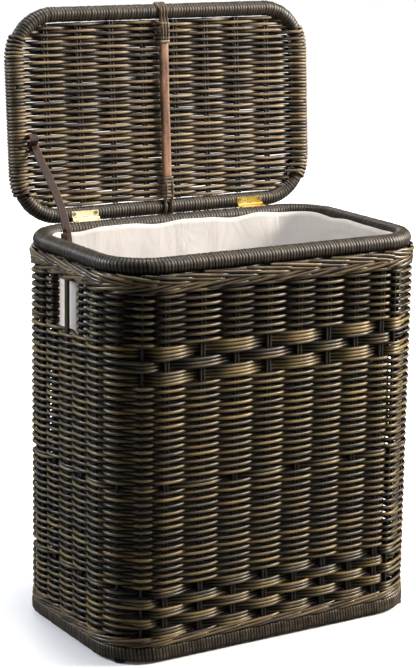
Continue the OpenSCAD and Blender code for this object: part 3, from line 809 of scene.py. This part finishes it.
def bar(name, x, w, t, v0, v1, z, material, rng):
    """A planed bar with rounded edges that isn't quite straight."""
    n, around = 60, 20
    s = np.linspace(0, 1, n)
    out, up = box_section(w, t, 5.0)(angles(around))
    cx = x + Wobble(rng, 0.21, BOW).at(s)
    verts = np.stack([cx[:, None] + out[None, :],
                      np.broadcast_to((v0 + (v1 - v0) * s)[:, None], (n, around)),
                      z + np.broadcast_to(up[None, :], (n, around))], -1)
    v = opened(verts.reshape(-1, 3))
    faces = [grid(n, around, False)]
    for row in (0, n - 1):
        v = np.concatenate([v, v[row * around:(row + 1) * around].mean(0)[None]])
        faces.append(fan(row * around, around, len(v) - 1, row == 0))
    return mesh_from(name, v * MM, np.concatenate(faces), material)


BRACE_X, BRACE_W, BRACE_T, BRACE_REACH = -2.0, 15.0, 7.0, 141.0
BRACE_Z = LID_Z - 7.4 - BRACE_T / 2
M_BRACE = object_material(
    "brace_wood", [(0.36, "3C281D"), (0.52, "7B5842"), (0.7, "A88568")], 0.5, scale=60, bump=0.4,
    stretch=(1, 1, 0.35))
brace = bar("lid_brace_bar", BRACE_X, BRACE_W, BRACE_T, LID_MID_Y - BRACE_REACH, LID_MID_Y + BRACE_REACH,
            BRACE_Z, M_BRACE, lid_rng)


def band_loop(w, low, high):
    """A closed flat loop round the brace and the panel, as (x, z) offsets."""
    c, s = np.cos(angles(40)), np.sin(angles(40))
    q = (np.abs(c * 2 / w) ** 6 + np.abs(s * 2 / (high - low)) ** 6) ** (-1 / 6)
    return q * c, (low + high) / 2 + q * s


# The last is the lift that gives the lashings the outermost value: fully worn, with none of the painted shade
# of the weave's depth
LASH_TURNS, LASH_PITCH, STRAND_X, WORN_UNSHADED_LIFT = 6, 5.6, (-5.2, 0.4, 5.6), 9.0


def lashings(name, sign):
    """Peel wound round the brace's end, and strands that tie it over the rail. At the back sign is 1."""
    b = Bundle()
    rng = np.random.default_rng(41 + sign)
    first = LID_MID_Y + sign * 139
    for k in range(LASH_TURNS):
        v = first - sign * (3.0 + LASH_PITCH * k)
        lean = rng.uniform(-1.2, 1.2)
        x, z = band_loop(BRACE_W + 4.6, BRACE_Z - BRACE_T / 2 - 1.6, LID_Z + 8.2)
        pts = np.stack([BRACE_X + x, v + lean * x / 10, z], 1)
        b.add(opened(pts), 2.6, rng.uniform(0, 50), rng.uniform(0.4, 1.0), closed=True, flat=0.42,
              up=opened_dir([0, 1, 0]), lift=WORN_UNSHADED_LIFT)
    for k, dx in enumerate(STRAND_X):
        if sign > 0 and k == 1:
            continue
        t = np.linspace(-0.15, 1.15, 30) * math.pi
        rr = RAIL_R + 1.0
        v = LID_MID_Y + sign * (LID_LINE_D / 2 + np.sin(t) * rr)
        z = LID_Z - np.cos(t) * rr
        inner_v = LID_MID_Y + sign * np.array([110.0, 122.0, 132.0, 139.0])
        inner_z = np.array([BRACE_Z - 4.9, BRACE_Z - 5.2, BRACE_Z - 5.0, BRACE_Z - 3.5])
        v = np.concatenate([inner_v, v])
        z = np.concatenate([inner_z, z])
        x = BRACE_X + dx + rng.uniform(-0.8, 0.8) + np.linspace(0, rng.uniform(-2, 2), len(v))
        b.add(opened(np.stack([x, v, z], 1)), 2.4, rng.uniform(0, 50), rng.uniform(0.7, 1.0),
              flat=2.6 / 2.4, up=opened_dir([0, 0.3, 1]), lift=WORN_UNSHADED_LIFT)
    return b.build(name, M_LASH)


M_LASH = reed_material("reed_lash", "241E1A", "54483C", "877660", rough=0.45)
lash_front = lashings("lashing_front_peel", -1)
lash_back = lashings("lashing_back_peel", 1)

# ---------------------------------------------------------------- liner
M_LINER, nt, bsdf = new_material("liner_cotton")
co = in_object(nt)
threads = [node(nt, "ShaderNodeTexWave", {"Vector": co, "Scale": 420.0, "Distortion": 0.6},
                bands_direction=way).outputs["Fac"] for way in "XZ"]
woven = bumped(nt, calc(nt, "ADD", *threads), 0.15, 0.0003)
creases = noise(nt, scaled(nt, co, (1, 1, 0.45)), 16.0, 3.0, Distortion=0.8)
cloth = ramp(nt, noise(nt, co, 9.0, 4.0), [(0.3, "A39E9B"), (0.7, "B9B4B1")])
lit = stored(nt, "lit")
# Painted light and shade: lit dims the cloth's colour where shade is painted, and makes it glow faintly and
# let light through where light is painted, though no lamp is there
put(nt, bsdf, {
    "Base Color": dimmed(nt, cloth, lit), "Roughness": 0.9, "Sheen Weight": 0.2,
    "Emission Color": (1.0, 0.97, 0.94, 1), "Emission Strength": calc(nt, "MULTIPLY", lit, 0.22),
    "Subsurface Weight": calc(nt, "MULTIPLY", lit, 0.4), "Subsurface Radius": (1.0, 1.0, 1.0),
    "Subsurface Scale": 0.006, "Normal": bumped(nt, creases, 0.6, 0.008, Normal=woven)})

LINER_W, LINER_D, LINER_R = 494.0, 279.0, 56.0
LINER_LOW, LINER_TOP = 23.6, 603.5
WINDOW_BULGE = 10.5
WINDOW_Y, WINDOW_REACH = 2.0, 74.0   # the windows' middle, and how far from it the cloth bulges out


def build_liner():
    """A loose cotton bag. Its sides hang from the rim in soft creases, and it lies flat on the panel."""
    loop = Loop(LINER_W, LINER_D, LINER_R)
    cols, rows = 360, 70
    s = np.arange(cols) / cols * loop.total
    x, y, nx, ny = loop.at(s)
    r = np.random.default_rng(5)
    wide, narrow, slow = Wobble(r, 62.0, 1.0), Wobble(r, 24.0, 1.0), Wobble(r, 140.0, 1.0)
    verts = []
    for i in range(rows):
        t = i / (rows - 1)
        z = LINER_TOP + (LINER_LOW - LINER_TOP) * t
        slack = math.sin(math.pi * min(t * 1.05, 1.0)) ** 0.7
        fold = 2.6 * wide.at(s + 18 * t) + 1.3 * narrow.at(s - 26 * t) * math.sin(math.pi * t) ** 0.5
        inset = 0.6 + slack * (3.4 + fold + 1.8 * slow.at(s + 300 * t)) + 0.5 * (1 + wide.at(s * 1.7))
        inset = np.maximum(inset, 0.25)
        edge = (3.0 * wide.at(s * 1.3 + 40) - 2.2) * (1 - smooth(t * 12))
        hem = 0.7 * (1 if t < 0.035 else 0)
        beside = smooth((z - 440) / 40) * (1 - smooth((z - 562) / 18))
        beside_window = np.exp(-(np.abs(y - WINDOW_Y) / WINDOW_REACH) ** 4)
        bulge = WINDOW_BULGE * beside * np.abs(nx) ** 4 * beside_window
        inset = inset * (1 - bulge / (WINDOW_BULGE + 0.5)) - bulge
        inset = inset - hem
        verts.append(np.stack([x - nx * inset, y - ny * inset, np.full_like(x, z) + edge - 1.2], 1))
    floor_rings = 14
    last = verts[-1]
    for i in range(1, floor_rings + 1):
        f = 1 - i / (floor_rings + 0.001)
        ring = last * np.array([f, f, 1.0])
        ring[:, 2] = LINER_LOW + 0.4 + 0.7 * (1 + slow.at(s * 0.8 + 90 * i)) * (1 - f)
        verts.append(ring)
    faces = grid(rows + floor_rings, cols, False)
    return mesh_from("liner_cloth", np.concatenate(verts) * MM, faces, M_LINER)


liner = build_liner()
thick = liner.modifiers.new("cloth", "SOLIDIFY")
thick.thickness = 0.0012
thick.offset = 1.0
bpy.context.view_layer.objects.active = liner
bpy.ops.object.modifier_apply(modifier=thick.name)


# Where the cloth's outer side gets painted light beside a window, instead of painted shade
SIDE_X, LIT_LOW, LIT_HIGH = 200.0, 462.0, 572.0     # where the cloth is beside a window
LIT_FRONT = 48.0                                    # how far toward the front of its middle it is lit
# Painted light on the cloth's outer side: what is left in the painted shade, the painted light beside the
# left window with more toward the back, and beside the right one
DARK, LEFT_LIT, LEFT_LIT_MORE, RIGHT_LIT = 0.03, 0.55, 0.85, 0.42


def paint_cloth_light_and_shade(obj):
    """Paints light and shade on the cloth. Its outer side, between the liner and the weave, is painted dark
    as shade, except beside the windows, where light is painted on it. At the left window the painted light
    grows toward the back. Elsewhere the cloth is painted fully lit."""
    co = np.zeros(len(obj.data.vertices) * 3)
    obj.data.vertices.foreach_get("co", co)
    co = co.reshape(-1, 3) / MM
    x, y, z = co.T
    half = len(co) // 2
    reach = np.hypot(x, y)
    outer = np.concatenate([reach[:half] > reach[half:], reach[half:] > reach[:half]])
    painted_window_light = smooth((z - LIT_LOW) / 14) * (1 - smooth((z - LIT_HIGH) / 10)) * (np.abs(x) > SIDE_X)
    painted_window_light = painted_window_light * np.exp(-(np.abs(y - WINDOW_Y) / np.where(y > WINDOW_Y, WINDOW_REACH, LIT_FRONT)) ** 6)
    painted_window_light = painted_window_light * np.where(x < 0, LEFT_LIT + LEFT_LIT_MORE * smooth((y - 5) / 30), RIGHT_LIT)
    attribute(obj.data, "lit", np.where(outer & (z < BORDER_TOP + 6), DARK + painted_window_light, 1.0))


paint_cloth_light_and_shade(liner)

# ---------------------------------------------------------------- strap
JOINTS = {j["name"]: j for j in frame["joints"]}


def yz(name):
    p = JOINTS[name]["pos_m"]
    return np.array([p[1], p[2]]) * 1000


STRAP_X = JOINTS["strap_at_lid"]["pos_m"][0] * 1000
STRAP_W, STRAP_T = 14.0, 2.6
STRAP_TOP, STRAP_FOLD = yz("strap_at_lid"), yz("strap_fold")
STRAP_FOOT = np.array([60.0, 597.0])

M_STRAP, nt, bsdf = new_material("strap_leather")
co = in_object(nt)
# On the strap the tone attribute holds the painted edge highlight
level = calc(nt, "MULTIPLY_ADD", noise(nt, co, 90.0, 4.0), 0.3, stored(nt, "tone"))
pores = node(nt, "ShaderNodeTexVoronoi", {"Vector": co, "Scale": 900.0}).outputs["Distance"]
put(nt, bsdf, {
    "Base Color": ramp(nt, level, [(0.1, "2A1F1A"), (0.35, "44322B"), (1.0, "8F5746")]),
    "Roughness": 0.62, "Specular IOR Level": 0.25, "Normal": bumped(nt, pores, 0.2, 0.0004)})


def band(name, path, closed=False, x=STRAP_X, highlight_edge=1):
    """A flat strap whose centre line is path, in (y, z). Its width runs along X, and one edge is painted
    lighter and redder as a highlight.
    """
    path = np.asarray(path, float)
    n = len(path)
    tan = (np.roll(path, -1, 0) - np.roll(path, 1, 0)) if closed else np.gradient(path, axis=0)
    tan /= np.linalg.norm(tan, axis=1)[:, None]
    nor = np.stack([-tan[:, 1], tan[:, 0]], 1)
    across = np.array([-1, -0.93, -0.78, -0.7, -0.4, 0, 0.4, 0.7, 0.78, 0.93, 1])
    rise = np.array([0, 0.72, 1.0, 0.8, 1.0, 1.05, 1.0, 0.8, 1.0, 0.72, 0])
    a = np.concatenate([across, across[::-1][1:-1]])
    h = np.concatenate([rise, -rise[::-1][1:-1]])
    m = len(a)
    y = path[:, 0, None] + nor[:, 0, None] * h[None, :] * STRAP_T / 2
    z = path[:, 1, None] + nor[:, 1, None] * h[None, :] * STRAP_T / 2
    xx = np.broadcast_to((x + a * STRAP_W / 2)[None, :], y.shape)
    verts = np.stack([xx, y, z], -1).reshape(-1, 3)
    # Painted highlight: a lighter, redder stripe along one edge
    highlight_stripe = a * highlight_edge > 0.9
    tone = np.broadcast_to(np.where(highlight_stripe, 0.75, 0.0)[None, :], y.shape).ravel()
    faces = [grid(n, m, closed)]
    if not closed:
        for row in (0, n - 1):
            verts = np.concatenate([verts, verts[row * m:(row + 1) * m].mean(0)[None]])
            tone = np.append(tone, 0.5)
            faces.append(fan(row * m, m, len(verts) - 1, row == 0))
    return mesh_from(name, verts * MM, np.concatenate(faces), M_STRAP, None, tone)


def bezier(p0, p1, p2, p3, n):
    t = np.linspace(0, 1, n)[:, None]
    return ((1 - t) ** 3 * p0 + 3 * (1 - t) ** 2 * t * p1 + 3 * (1 - t) * t * t * p2 + t ** 3 * p3)


# A bow that leaves the lid toward the front and comes down steeply on its foot
strap_line = bezier(STRAP_TOP + np.array([3.0, -4.0]), STRAP_TOP + np.array([-39.5, -51.0]),
                    STRAP_FOOT + np.array([18.0, 71.2]), STRAP_FOOT, 120)
strap = band("strap_band", strap_line)
turn = angles(40)
q = (np.abs(np.cos(turn) / 8.5) ** 5 + np.abs(np.sin(turn) / 6.4) ** 5) ** (-1 / 5)
tilt = math.radians(136)
lx, lz = q * np.cos(turn), q * np.sin(turn)
loop_line = np.stack([STRAP_TOP[0] + 1.0 + lx * math.cos(tilt) - lz * math.sin(tilt),
                      STRAP_TOP[1] + 0.5 + lx * math.sin(tilt) + lz * math.cos(tilt)], 1)
strap_loop = band("strap_loop", loop_line, closed=True, x=STRAP_X - 3.5, highlight_edge=-1)

# ---------------------------------------------------------------- what each piece rides on and stands for
for obj, nodes, slot_name in (
        (lower_band, ["weave_lower_band"], "rattan_weave"), (main_low, ["weave_main"], "rattan_weave"),
        (main_high, ["weave_main"], "rattan_weave"), (upper_band, ["weave_upper_band"], "rattan_weave"),
        (top_reeds, ["weave_top"], "rattan_weave"), (border_reeds, ["top_border"], "rattan_dark"),
        (braid_reeds, ["base_braid"], "rattan_dark"), (rim, ["rim_wrap"], "rattan_peel"),
        (base, ["base_wrap"], "rattan_peel"), (liner, ["liner_bag"], "liner_cloth")):
    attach(obj, "basket")
    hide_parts(*nodes)
for obj, nodes, slot_name in (
        (lid_reeds[0], ["lid_weave"], "rattan_weave"), (lid_reeds[1], ["lid_weave"], "rattan_weave"),
        (rail_parts[0], ["lid_front_wrap"], "rattan_peel"), (rail_parts[1], ["lid_back_wrap"], "rattan_peel"),
        (brace, ["lid_brace"], "brace_wood"), (lash_front, ["lashing_front"], "rattan_peel"),
        (lash_back, ["lashing_back"], "rattan_peel")):
    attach(obj, "lid")
    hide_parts(*nodes)
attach(strap_loop, "strap_up")
along = np.array([0, *(STRAP_TOP - STRAP_FOOT)]) * MM
along /= np.linalg.norm(along)
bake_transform(strap)
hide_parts("strap_upper", "strap_lower")

# ---------------------------------------------------------------- solids carried over
M_BRASS = object_material("brass_plate", [(0.3, "A8842F"), (0.55, "DDBF66"), (0.8, "F6E9B8")],
                          0.3, metal=0.6, scale=30, bump=0.08)
# The left hinge's leaves: a paler copy of the same brass, as a painted reflection
M_BRASS_PALE_REFLECTION = object_material("brass_pale_reflection", [(0.3, "D9C898"), (0.55, "F4EBCD"), (0.8, "FFFCF0")],
                         0.34, metal=0.35, scale=30, bump=0.08)
M_RIVET = object_material("rivet_dark", [(0.3, "3A2A22"), (0.7, "604A3C")], 0.35, metal=0.7, scale=90)
M_SCREW = object_material("brass_screw", [(0.3, "B79A56"), (0.7, "E2D3A0")], 0.28, metal=1.0, scale=90)
M_GLIDE = object_material("glide_plastic", [(0.3, "2A2623"), (0.7, "3B3632")], 0.55)
M_PANEL = object_material("panel_wood", [(0.3, "6E5A42"), (0.7, "92795A")], 0.6, scale=12,
                          stretch=(0.2, 1, 1))
PAINT = {
    "base_panel": M_PANEL, "glides": M_GLIDE, "wall_stakes": M_STAKE, "corner_posts": M_STAKE,
    "window_stakes": M_BARE_LIT, "rim_core": M_SOLID, "base_core": M_SOLID, "lid_core": M_SOLID,
    "lid_stakes": M_STAKE, "hinge_left_body_leaf": M_BRASS_PALE_REFLECTION, "hinge_right_body_leaf": M_BRASS,
    "hinge_left_lid_leaf": M_BRASS_PALE_REFLECTION, "hinge_right_lid_leaf": M_BRASS, "hinge_left_pin": M_SCREW,
    "hinge_right_pin": M_SCREW, "body_hinge_screws": M_SCREW, "lid_hinge_screws": M_SCREW,
    "strap_rim_tab": M_STRAP, "strap_lid_tab": M_STRAP, "strap_rim_screw": M_RIVET,
    "strap_lid_screw": M_SCREW, "strap_rivet": M_RIVET,
}
for name, mat in PAINT.items():
    mesh = frame["nodes"][name].data
    mesh.materials.clear()
    mesh.materials.append(mat)

# ---------------------------------------------------------------- floor, lights, camera
def area_light(name, place_at, aim, size, power, colour):
    data = bpy.data.lights.new(name, "AREA")
    data.shape = "DISK"
    data.size, data.energy, data.color = size, power, colour
    obj = bpy.data.objects.new(name, data)
    bpy.context.scene.collection.objects.link(obj)
    obj.location = place_at
    from_to = Vector(aim) - Vector(place_at)
    obj.rotation_euler = from_to.to_track_quat("-Z", "Y").to_euler()


# The paper glows to white away from the basket, and throws back less light than the camera sees on it.
# The sky is white to the camera too, and gives the basket only a little light.
GLOW_FROM, GLOW_FULL, PAPER_BOUNCE, PAPER_SEEN, SKY_LIGHT = 0.25, 1.0, 0.14, 0.9, 0.045
bpy.ops.mesh.primitive_circle_add(vertices=96, radius=14.0, fill_type="NGON", location=(0, 0, -0.0002))
floor = bpy.context.object
floor.name = "floor"
M_FLOOR, nt, bsdf = new_material("floor_paper")
far = node(nt, "ShaderNodeVectorMath", {0: in_object(nt)}, operation="LENGTH").outputs["Value"]
glow = node(nt, "ShaderNodeMapRange",
            {"Value": far, "From Min": GLOW_FROM, "From Max": GLOW_FULL}).outputs[0]
seen = node(nt, "ShaderNodeLightPath").outputs["Is Camera Ray"]
tint = node(nt, "ShaderNodeMapRange",
            {"Value": seen, "To Min": PAPER_BOUNCE, "To Max": PAPER_SEEN}).outputs[0]
put(nt, bsdf, {"Base Color": tint, "Roughness": 0.8, "Emission Color": (1, 1, 1, 1),
               "Emission Strength": calc(nt, "MULTIPLY", glow, seen)})
floor.data.materials.append(M_FLOOR)

# Where each stands and what it is aimed at, in metres, then its size, power and colour
area_light("key_warm", (3.0, -1.2, 2.1), (0, 0, 0.45), 1.5, 350, (1.0, 0.91, 0.8))
area_light("fill_cool", (-2.3, 1.6, 1.9), (0, 0, 0.45), 0.7, 100, (0.88, 0.92, 1.0))
area_light("front_cool", (-0.2, -3.4, 1.9), (0, 0, 0.6), 0.5, 9, (0.86, 0.91, 1.0))
area_light("top_soft", (0.1, 0.0, 3.0), (0, 0, 0.3), 0.8, 60, (1.0, 0.98, 0.95))
area_light("back_soft", (0.6, 2.6, 1.8), (0, 0, 0.5), 1.6, 40, (1.0, 0.98, 0.96))

world = bpy.data.worlds.new("studio")
bpy.context.scene.world = world
world.use_nodes = True
nt = world.node_tree
seen = node(nt, "ShaderNodeLightPath").outputs["Is Camera Ray"]
put(nt, nt.nodes["Background"], {0: (1.0, 1.0, 1.0, 1),
                                 1: calc(nt, "MULTIPLY_ADD", seen, 1 - SKY_LIGHT, SKY_LIGHT)})

VIEW_AZ, VIEW_EL, VIEW_ROLL = math.radians(31.49), math.radians(13.2), math.radians(0.79)
VIEW_DIST, VIEW_LENS, AIM_SIDE, AIM_Z = 3.1805, 177.1, -0.02202, 0.4436
V = Vector
fwd = V((math.sin(VIEW_AZ) * math.cos(VIEW_EL), math.cos(VIEW_AZ) * math.cos(VIEW_EL), -math.sin(VIEW_EL)))
right = V((math.cos(VIEW_AZ), -math.sin(VIEW_AZ), 0))
up = right.cross(fwd)
rolled_right = right * math.cos(VIEW_ROLL) + up * math.sin(VIEW_ROLL)
rolled_up = -right * math.sin(VIEW_ROLL) + up * math.cos(VIEW_ROLL)
cam_data = bpy.data.cameras.new("camera")
cam_data.sensor_fit = "HORIZONTAL"
cam_data.sensor_width = 36.0
cam_data.lens = VIEW_LENS
cam_data.clip_end = 100
cam = bpy.data.objects.new("camera", cam_data)
bpy.context.scene.collection.objects.link(cam)
stand = Matrix((rolled_right, rolled_up, -fwd)).transposed().to_4x4()
stand.translation = V((0, 0, AIM_Z)) + right * AIM_SIDE - fwd * VIEW_DIST
cam.matrix_world = stand
bpy.context.scene.camera = cam
bpy.context.scene.view_settings.view_transform = "Standard"
